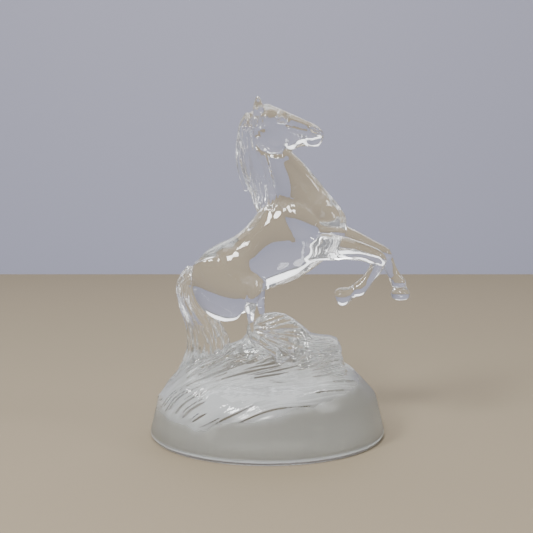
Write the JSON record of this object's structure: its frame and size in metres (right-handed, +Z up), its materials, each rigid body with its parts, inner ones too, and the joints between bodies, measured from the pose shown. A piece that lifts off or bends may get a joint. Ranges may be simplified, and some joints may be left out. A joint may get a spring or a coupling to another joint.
{
  "type": "crystal horse figurine",
  "caption": "Clear glass figurine of a horse rearing from a streaked rock on a round frosted domed base, cast in one piece, standing on a flat underside.",
  "frame": {"origin": "centre of the round base's flat underside", "axes": "+Z up, the horse faces +X and its right side is towards -Y"},
  "size_m": [0.1291, 0.116, 0.1651],
  "materials": {
    "crystal": "polished clear glass, satin-frosted on the base"
  },
  "bodies": {
    "root": {"crystal_horse": "crystal"}
  },
  "joints": []
}
